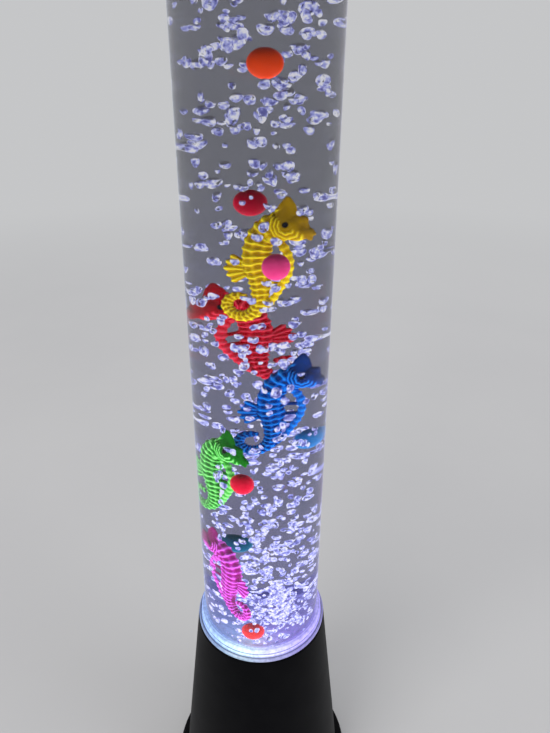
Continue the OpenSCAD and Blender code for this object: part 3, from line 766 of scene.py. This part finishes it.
def along_curve(places, stations, steps):
    """For each place: length along the curve, signed share of the half width, distance in mm and
    half width there; and the curve's whole length."""
    points = curve_points(stations, steps)
    lengths = np.concatenate(([0], np.cumsum(np.linalg.norm(np.diff(points[:, :2], axis=0), axis=1))))
    tangents = np.gradient(points[:, :2], axis=0)
    tangents /= np.linalg.norm(tangents, axis=1)[:, None]
    tree = point_tree([(x, 0, z) for x, z, _ in points])
    nearest = np.array([tree.find((x, 0, z))[1] for x, _, z in places])
    offset = places[:, [0, 2]] - points[nearest, :2]
    t = tangents[nearest]
    side = -offset[:, 0] * t[:, 1] + offset[:, 1] * t[:, 0]
    length = lengths[nearest] + (offset * t).sum(1)
    half = points[nearest, 2]
    return length, side / half, np.linalg.norm(offset, axis=1), half, lengths[-1]


def fade(value, low, high):
    """0 below low, 1 above high, smooth between."""
    t = np.clip((value - low) / (high - low), 0, 1)
    return t * t * (3 - 2 * t)


def ring_count(length, whole):
    """How many rings lie before each length of the spine: they come closer together down the tail."""
    steps = np.linspace(0, whole, 400)
    pitch = RING_PITCH * (0.68 + 0.32 * fade(whole - steps, 12, 60))
    return np.interp(length, steps, np.concatenate(([0], np.cumsum(np.diff(steps) / pitch[1:]))))


def mould_relief(places):
    """Height in mm of the relief at each place of the skin, and its share from hollow to crest, which the finish
    paints from painted shade to painted highlight.
    """
    x, z = places[:, 0], places[:, 2]
    length, across, away, half, whole = along_curve(places, SPINE, 400)
    rim_length, _, rim_away, rim_half, _ = along_curve(places, RIM, 200)
    from_eye = np.hypot(x - EYE.x, z - EYE.z)
    angle = np.degrees(np.arctan2(z - EYE.z, x - EYE.x)) % 360
    round_eye = from_eye / (1 + 0.36 * fade(angle, 190, 285)) + 0.18 * np.sin(np.radians(angle) * 9)
    # Bony rings and knobs, closer together down the tail
    on_body = fade(1.35 - away / half, 0, 0.25) * fade(round_eye, 7.2, 7.9)
    on_body *= 1 - fade(rim_half * 1.2 - rim_away, 0, 0.5) * (x > 2.5)
    on_body *= 1 - fade(-x - 8.0, 0, 1.0) * (z > -16.5)
    wave = 0.35 * np.sin(3.1 * across) + 0.18 * np.sin(across * 7 + length)
    counted = ring_count(length + wave, whole)
    rings = crest_of(counted, 0.17)
    size = np.clip(half / 4.6, 0.5, 1)
    knob_rows = sum(np.exp(-(((across - row) / 0.13) ** 2)) for row in KNOB_ROWS)
    knobs = crest_of(counted, 0.24) * knob_rows
    ridges = 0.3 * knob_rows * (1 - rings)
    height = on_body * size * (0.62 * rings + 0.4 * knobs + 0.3 * ridges - 0.14)
    bright = on_body * np.clip(rings + 0.5 * knobs + ridges, 0, 1)
    # Knobs along the belly's rim
    on_rim = fade(1.4 * rim_half - rim_away, 0, 0.4) * (x > 2.0) * fade(from_eye, 9.0, 10.0)
    rim_knobs = crest_of(rim_length / RING_PITCH, 0.24)
    height += on_rim * 0.5 * rim_knobs
    bright = np.maximum(bright, on_rim * (0.35 + 0.65 * rim_knobs))
    # Nested cheek lines, from the nape round under the eye and out along the jaw
    cheek = fade(angle, 130, 155) * (1 - fade(angle, 318, 334))
    for line in CHEEK_LINES:
        arc = np.exp(-(((round_eye - line) / 0.42) ** 2)) * cheek
        height += 0.65 * arc
        bright = np.maximum(bright, arc)
    # A lid round the eye and rays on the fin
    height += 0.25 * np.exp(-(((from_eye - 2.1) / 0.35) ** 2))
    fin_x, fin_z = x - FIN_ROOT[0], z - FIN_ROOT[1]
    fin_angle = np.degrees(np.arctan2(fin_z, -fin_x))
    on_fin = fade(np.hypot(fin_x, fin_z), 5.6, 6.4) * (np.abs(fin_angle) < 42) * (x < -7.8)
    rays = crest_of(fin_angle / FIN_STEP, 0.2)
    height += on_fin * (0.3 * rays - 0.1)
    bright = np.maximum(bright, on_fin * (0.15 + 0.85 * rays))
    return height, bright


def vertex_rows(mesh, what="co"):
    """The places or the normals of a mesh's vertices, as rows."""
    rows = np.zeros(len(mesh.vertices) * 3, np.float32)
    mesh.vertices.foreach_get(what, rows)
    return rows.reshape(-1, 3)


def sculpt(mesh):
    """Moves the relief into the skin along its normals and keeps it as attributes."""
    places, normals = vertex_rows(mesh).astype(float), vertex_rows(mesh, "normal")
    height, bright = mould_relief(places)
    eye = 1 - fade(np.hypot(places[:, 0] - EYE.x, places[:, 2] - EYE.z), 1.25, 1.6)
    # The crest attribute carries painted shade in the hollows and painted highlight on the crests
    for name, values in (("crest", bright), ("eye_paint", eye)):
        mesh.attributes.new(name, "FLOAT", "POINT").data.foreach_set("value", values.astype(np.float32))
    moved = places + normals * height[:, None]
    mesh.vertices.foreach_set("co", moved.astype(np.float32).ravel())
    mesh.update()
    mesh.shade_smooth()
    print("relief from", round(height.min(), 2), "to", round(height.max(), 2), "mm")


sculpt(mould)

# %% [markdown]
# ## Toy plastic
# The seahorses are glossy soft plastic, strongly coloured. Painted highlight makes the crests
# lighter and painted shade the hollows deeper, and the eyes are a dab of black paint. Plastic
# mirrors far less in water than in air, which its index of refraction says here.

# %% Toy finishes
IOR_IN_WATER = 1.5 / WATER_IOR


def toy_plastic(name, colour, light, hollow_shade):
    """Glossy soft plastic: crests lighter with painted highlight, hollows deeper with painted shade, and a painted
    eye, from attributes.
    """
    material, tree, shader = new_material(
        name, IOR=IOR_IN_WATER, Subsurface_Weight=0.1, Subsurface_Radius=(0.002, 0.002, 0.002),
        Subsurface_Scale=0.5)
    where = place_of(tree)
    crest = add_node(tree, "ShaderNodeAttribute", attribute_name="crest").outputs["Fac"]
    eye = add_node(tree, "ShaderNodeAttribute", attribute_name="eye_paint").outputs["Fac"]
    # Painted shade in the hollows, the toy's colour between, painted highlight on the crests
    body = ramp(tree, crest, [(0.0, hollow_shade), (0.3, colour), (0.85, light)])
    other = mix_colours(tree, 0.3, body, (*colour, 1))
    drift = use_group(tree, colour_drift, {
        "Place": where, "Colour": body, "Other Colour": other, "Patch Size": 160.0})
    painted = mix_colours(tree, eye, drift.outputs["Colour"], (0.004, 0.004, 0.005))
    tree.links.new(painted, shader.inputs["Base Color"])
    add_grain(tree, shader, where, 1800.0, 0.2, 0.2, 0.08, 0.0003)
    return material


# Each toy: its colour, the painted highlight on its crests and the painted shade in its hollows
TOYS = {
    "yellow": ((0.66, 0.44, 0.003), (1.0, 0.86, 0.02), (0.34, 0.20, 0.002)),
    "red": ((0.70, 0.004, 0.018), (0.95, 0.07, 0.10), (0.30, 0.001, 0.006)),
    "blue": ((0.003, 0.11, 0.46), (0.015, 0.34, 0.95), (0.001, 0.02, 0.12)),
    "green": ((0.02, 0.36, 0.012), (0.30, 1.0, 0.20), (0.003, 0.10, 0.003)),
    "magenta": ((0.52, 0.004, 0.29), (1.0, 0.20, 0.88), (0.22, 0.001, 0.08)),
}
toys = {colour: toy_plastic("toy_" + colour, *shades) for colour, shades in TOYS.items()}
print("toy finishes:", sorted(toys))

# %% Place the seahorses
# Centre in mm, turn about the tube's axis and lean, in degrees
SEAHORSES = {
    "yellow": ((2.3, -7.8, 431.6), -20, -1),
    "red": ((-4.5, 21, 383.3), 204, 5.5),
    "blue": ((7.8, -6.9, 347.9), -2, 1),
    "green": ((-21.5, -10.5, 303), -47, -3),
    "magenta": ((-17.6, -19, 226.8), 130, -2.5),
}


def float_matrix(centre, turned=0, lean=0):
    """From the mould's millimetres to the float's place in the tube, in metres."""
    return (
        Matrix.Scale(MM, 4)
        @ Matrix.Translation(centre)
        @ Matrix.Rotation(math.radians(turned), 4, "Z")
        @ Matrix.Rotation(math.radians(lean), 4, "Y")
    )


for colour, place in SEAHORSES.items():
    mesh = mould.copy()
    mesh.transform(float_matrix(*place))
    body = "seahorse_" + colour
    place_piece(body + "_moulding", mesh, toys[colour], body, [body])
print("seahorses placed:", list(SEAHORSES))

# %% [markdown]
# ## Trapped air
# Air gathers behind the belly's rim of each seahorse, where it shows as a pale sheet in the
# lower window: its pale glow is painted light, and its dark blue where it doesn't glow is painted
# shade. It is a thin film with rounded edges, and it rides with its seahorse.

# %% Air films
# The air's light dims from 1 to AIR_HIGH between these heights, in metres
AIR_FADE, AIR_HIGH = (0.2, 0.5), 0.62


def air_finish(name, broken, tops, varied, solid, strength, glint_size):
    """Air in lit water, its light and shade painted: it glows white and lavender where it would turn
    the light back, and elsewhere it is partly clear and partly a painted dark blue shade. The glow
    dims with height, as the light does."""
    # The dark blue base colour is painted shade where the air doesn't glow; the emission is painted light
    material, tree, shader = new_material(
        name, Base_Color=(0.05, 0.05, 0.16, 1), Roughness=0.12, Emission_Strength=strength,
        Specular_IOR_Level=0.25)
    material.cycles.emission_sampling = "NONE"
    where = place_of(tree)
    surface = tree.nodes.new("ShaderNodeNewGeometry")
    facing = split(tree, surface.outputs["Normal"])["Z"]
    each = noise_over(tree, where, 150.0, 0.0)
    falling = remap(tree, split(tree, where)["Z"], *AIR_FADE, 1.0, AIR_HIGH)
    tipped = maths(tree, "ADD", facing, maths(tree, "MULTIPLY", each, varied))
    tipped = maths(tree, "SUBTRACT", tipped, maths(tree, "MULTIPLY", falling, 2.0))
    underside = remap(tree, tipped, tops, tops - 0.5)
    outside = maths(tree, "SUBTRACT", 1.0, surface.outputs["Backfacing"])
    patchy = remap(tree, noise_over(tree, where, 480.0, 2.0, 0.4), *broken)
    glow = maths(tree, "MULTIPLY", maths(tree, "MULTIPLY", underside, patchy, clamp=True), outside)
    # Painted glints: lavender to white
    hue = ramp(tree, noise_over(tree, where, glint_size, 2.0), [
        (0.34, (0.13, 0.13, 0.38)), (0.43, (0.34, 0.36, 0.78)), (0.52, (0.62, 0.65, 1.0)),
        (0.60, (1.0, 1.0, 1.0))])
    lit = scaled(tree, hue, maths(tree, "MULTIPLY", glow, falling))
    tree.links.new(lit, shader.inputs["Emission Color"])
    opacity = maths(tree, "ADD", maths(tree, "MULTIPLY", glow, 0.95 - solid), solid, clamp=True)
    tree.links.new(opacity, shader.inputs["Alpha"])
    let_lamps_through(tree, shader, (1.0, 1.0, 1.0))
    return material


trapped_air = air_finish("trapped_air", (0.0, 0.2), 0.6, 0.0, 0.6, 1.8, 260.0)


def air_film():
    """A thin rounded sheet in the belly's lower window, in mm."""
    bm = bmesh.new()
    outline = [(1.6, -7.2), (9.6, -7.0), (8.0, -12.2), (4.0, -18.6), (2.0, -20.4), (1.0, -14.0)]
    rounded(bm, [(x, z, 1.0) for x, z in outline], 0.8, 10)
    return bm


for colour, place in SEAHORSES.items():
    film = air_film()
    bmesh.ops.transform(film, matrix=float_matrix(*place), verts=film.verts)
    finish_piece(film, f"seahorse_{colour}_air", trapped_air, "seahorse_" + colour)
print("air films placed")

# %% [markdown]
# ## Balls
# The balls are moulded in two halves, so each has a fine seam round it. The profile is a half
# circle with a tiny ridge at its middle, spun a full turn.

# %% Ball finishes and balls
BALL_R = 6.5
SEAM_HALF, SEAM_HIGH = 0.22, 0.05
BALLS = {
    "orange": ((2.4, 4, 520.4), (0.70, 0.055, 0.004), (0.60, 0.036, 0.003)),
    "crimson": ((-3.3, 6, 458.5), (0.55, 0.004, 0.028), (0.42, 0.002, 0.02)),
    "pink": ((8.3, -26, 432.5), (0.98, 0.075, 0.25), (0.95, 0.05, 0.20)),
    "sky": ((19.4, 10, 316), (0.008, 0.20, 0.42), (0.004, 0.14, 0.34)),
    "red": ((-8.9, -28, 304.2), (0.82, 0.008, 0.035), (0.7, 0.004, 0.02)),
    "teal": ((-10, 12, 235.3), (0.002, 0.12, 0.16), (0.001, 0.08, 0.12)),
    "coral": ((-4.1, -24, 180.8), (0.98, 0.032, 0.018), (0.92, 0.022, 0.014)),
}


def ball_mesh():
    """A ball of two moulded halves, about the origin, in mm."""
    bm = bmesh.new()
    seam = math.degrees(SEAM_HALF / BALL_R)
    angles = [*np.linspace(-90, -3 * seam, 16), -seam, 0, seam, *np.linspace(3 * seam, 90, 16)]
    core = BALL_R - SEAM_HIGH
    profile = []
    for a in angles:
        out = core + (SEAM_HIGH if abs(a) < seam / 2 else 0)
        profile.append(bm.verts.new((out * math.cos(math.radians(a)), 0, core * math.sin(math.radians(a)))))
    edges = [bm.edges.new(pair) for pair in zip(profile, profile[1:])]
    spin_round(bm, profile + edges, 48, 1e-4)
    return bm


for i, (colour, (centre, main, other)) in enumerate(BALLS.items()):
    finish = moulded("ball_" + colour, main, other, 0.3, 0.16, 0.04, 2000.0, 90.0, IOR=IOR_IN_WATER)
    ball = ball_mesh()
    bmesh.ops.transform(ball, matrix=float_matrix(centre, 40 * i, 25 + 31 * i), verts=ball.verts)
    body = "ball_" + colour
    finish_piece(ball, body + "_moulding", finish, body, [body])
print("balls placed:", list(BALLS))

# %% [markdown]
# ## Bubbles
# The plate breaks the air into flattened, wobbling bubbles. They crowd into a plume above the
# right side of the plate and spread and thin out as they rise. Each is a small ball of a few
# faces, squashed, tilted and dented by noise, and none is drawn inside a float.

# %% Where bubbles may be
def pieces_named(ending):
    """The finished pieces whose names end that way."""
    return [o for o in scene.objects if o.name.endswith(ending)]


def clear_of_floats(centre, radius):
    """True where a bubble of that radius touches no float."""
    if not float_skins.find(centre)[2] > radius + KEEPOUT:
        return False
    return not any((Vector(place) * MM - centre).length < BALL_R * MM + radius for place, *_ in BALLS.values())


KEEPOUT = 0.0004
skin_places = np.concatenate([vertex_rows(piece.data)[::12] for piece in pieces_named("_moulding")])
float_skins = point_tree(skin_places)
print("keepout points", len(skin_places))

# %% Bubble shapes
# Each band of height, in mm, and how many places are tried in it
BUBBLE_BANDS = [
    (170.6, 205, 360), (205, 240, 210), (240, 285, 170), (285, 335, 155), (335, 400, 150), (400, 480, 175),
    (480, 560, 190), (560, 680, 230), (680, 899, 360),
]
PLATE_TOP, PLUME_RISE, GROWTH_RISE = 170, 180, 220
# The plume's middle and spread in mm, the share of stray bubbles and the usual width in mm: each
# as it is at the plate, and what the rise adds to it
PLUME = [(8, -4), (-20, 18), (24, 14), (0.10, 0.55)]
USUAL_WIDE = (2.9, 1.3)
WIDE_SPREAD, WIDE_LEAST, WIDE_MOST = 0.26, 1.6, 6.4
TALL_LEAST, TALL_MOST = 0.7, 1.25


def plume_share(x, y, z):
    """How likely a bubble is at a place, in mm: one plume on the right, thinning out with height."""
    rise = min(max((z - PLATE_TOP) / PLUME_RISE, 0), 1)
    middle_x, middle_y, spread, strays = (at + more * rise for at, more in PLUME)
    away = math.hypot(x - middle_x, y - middle_y)
    return max(math.exp(-((away / spread) ** 2)), strays)


def blob_patterns(count):
    """Wobbling bowls of 70 faces and about 1 across, to be copied: balls dented by noise, flat above."""
    patterns = []
    for i in range(count):
        bm = bmesh.new()
        bmesh.ops.create_uvsphere(bm, u_segments=10, v_segments=7, radius=0.5)
        shift = Vector((7.3 * i, 3.1 * i, 5.7 * i))
        for corner in bm.verts:
            corner.co *= 1 + 0.42 * noise.noise(corner.co * 1.6 + shift)
            if corner.co.z > 0:
                corner.co.z *= 0.7
        patterns.append(to_mesh(bm, f"blob_{i}"))
    return patterns


def blob_matrix(centre, wide, tall, chance):
    """Where one blob goes: squashed, turned and tilted by chance."""
    tilt = Matrix.Rotation(chance.gauss(0, 0.3), 4, "X") @ Matrix.Rotation(chance.gauss(0, 0.3), 4, "Y")
    turned = Matrix.Rotation(chance.uniform(0, math.tau), 4, "Z")
    squash = Matrix.Diagonal((wide, wide * chance.uniform(0.65, 1), tall, 1))
    return Matrix.Translation(centre) @ tilt @ turned @ squash


def bubble_band(low, high, count, chance):
    """The bubbles between two heights, in mm, as one mesh in metres."""
    bm = bmesh.new()
    placed = 0
    while placed < count:
        angle, radius = chance.uniform(0, math.tau), (BORE_R - 1.4) * math.sqrt(chance.random())
        x, y, z = radius * math.cos(angle), radius * math.sin(angle), chance.uniform(low, high)
        if chance.random() > plume_share(x, y, z):
            continue
        placed += 1
        usual = USUAL_WIDE[0] + USUAL_WIDE[1] * min((z - PLATE_TOP) / GROWTH_RISE, 1)
        wide = min(max(chance.lognormvariate(math.log(usual), WIDE_SPREAD), WIDE_LEAST), WIDE_MOST)
        tall = wide * chance.uniform(TALL_LEAST, TALL_MOST)
        centre = Vector((x, y, z)) * MM
        if radius + wide / 2 > BORE_R - 0.6 or z - wide / 2 < low + 0.3:
            continue
        if not clear_of_floats(centre, wide / 2 * MM):
            continue
        first = len(bm.verts)
        bm.from_mesh(chance.choice(PATTERNS))
        bm.verts.ensure_lookup_table()
        bmesh.ops.transform(bm, matrix=blob_matrix(centre, wide * MM, tall * MM, chance), verts=bm.verts[first:])
    return bm


PATTERNS = blob_patterns(24)

# %% Bubbles in bands of height
bubble_skin = air_finish("bubble_skin", (0.30, 0.42), 0.5, 1.6, 0.3, 1.95, 460.0)
rng = random.Random(11)
for number, (low, high, count) in enumerate(BUBBLE_BANDS):
    band = finish_piece(bubble_band(low, high, count, rng), f"bubbles_{number}", bubble_skin, "lamp", sharp=180)
    print(band.name, len(band.data.polygons), "faces")

# %% [markdown]
# ## Stage and light
# A pale round floor, a pale world and three large soft lamps show the lamp plainly. Two wide
# lights from below stand for the ring in the base: they shine on the floats alone, as the water
# carries the light, so that their undersides are bright. The higher floats get less of it.

# %% World
WORLD_LEVEL = 0.6
BACKDROP = (0.56, 0.565, 0.575)
world = bpy.data.worlds.new("studio")
world.use_nodes = True
scene.world = world
background = world.node_tree.nodes["Background"]
seen = add_node(world.node_tree, "ShaderNodeLightPath")
direct = maths(world.node_tree, "MAXIMUM", seen.outputs["Is Camera Ray"], seen.outputs["Is Transmission Ray"])
studio = mix_colours(world.node_tree, direct, (WORLD_LEVEL, WORLD_LEVEL, WORLD_LEVEL * 1.02), BACKDROP)
world.node_tree.links.new(studio, background.inputs["Color"])
print("world level", WORLD_LEVEL, "backdrop", BACKDROP)

# %% Floor
FLOOR_R, FADE_FROM, FADE_TO = 30.0, 0.5, 2.6


def stage_floor():
    """A pale round floor that fades into the backdrop's colour far away, so that no horizon shows."""
    material, tree, shader = new_material("stage_floor", Roughness=0.9, Specular_IOR_Level=0.1)
    material.cycles.emission_sampling = "NONE"
    where = place_of(tree)
    drift = use_group(tree, colour_drift, {
        "Place": where, "Colour": (0.56, 0.56, 0.565, 1), "Other Colour": (0.54, 0.54, 0.548, 1),
        "Patch Size": 3.0})
    tree.links.new(drift.outputs["Colour"], shader.inputs["Base Color"])
    away = add_node(tree, "ShaderNodeVectorMath", {0: where}, operation="LENGTH").outputs["Value"]
    far = remap(tree, away, FADE_FROM, FADE_TO, interpolation_type="SMOOTHSTEP")
    backdrop = add_node(tree, "ShaderNodeEmission", {"Color": (*BACKDROP, 1)})
    mix_surface(tree, far, shader.outputs["BSDF"], backdrop.outputs["Emission"])
    bm = bmesh.new()
    bmesh.ops.create_circle(bm, cap_ends=True, segments=96, radius=FLOOR_R)
    mesh = to_mesh(bm, "floor")
    mesh.materials.append(material)
    add_object("floor", mesh)


stage_floor()

# %% Lamps
def soft_lamp(name, place, aim, size, power, colour=(1, 1, 1)):
    """A large square area lamp that faces a point."""
    data = bpy.data.lights.new(name, "AREA")
    data.size = size
    data.energy = power
    data.color = colour
    lamp = add_object(name, data)
    lamp.location = place
    lamp.rotation_euler = (Vector(aim) - Vector(place)).to_track_quat("-Z", "Y").to_euler()
    lamp.visible_camera = False
    lamp.visible_transmission = False
    return lamp


soft_lamp("key_lamp", (-1.3, -1.5, 2.0), (0, 0, 0.4), 1.4, 26, (1.0, 0.985, 0.96))
fill_lamp = soft_lamp("fill_lamp", (1.7, -0.7, 1.2), (0, 0, 0.4), 1.2, 9, (0.95, 0.97, 1.0))
fill_lamp.visible_glossy = False
soft_lamp("back_lamp", (0.4, 1.8, 1.6), (0, 0, 0.5), 1.2, 9)

# %% Light up the tube
floats = bpy.data.collections.new("floats")
for piece in pieces_named("_moulding"):
    floats.objects.link(piece)


def light_floats(name, strength, spread, lowest, highest):
    """Light from below on the floats whose middles lie between two heights, in mm."""
    lit = bpy.data.collections.new(name)
    for piece in floats.objects:
        middle = sum(corner[2] for corner in piece.bound_box) / 8 / MM
        if lowest <= middle < highest:
            lit.objects.link(piece)
    data = bpy.data.lights.new(name, "SUN")
    data.energy = strength
    data.angle = math.radians(spread)
    data.color = (0.88, 0.84, 1.0)
    lamp = add_object(name, data)
    lamp.rotation_euler = (math.radians(180), 0, 0)
    lamp.light_linking.receiver_collection = lit
    lamp.light_linking.blocker_collection = floats


light_floats("ring_glow_low", 48.0, 165, 0, 330)
light_floats("ring_glow_high", 28.0, 140, 330, 900)
scene.cycles.max_bounces = 24
scene.cycles.transmission_bounces = 24
scene.cycles.transparent_max_bounces = 48
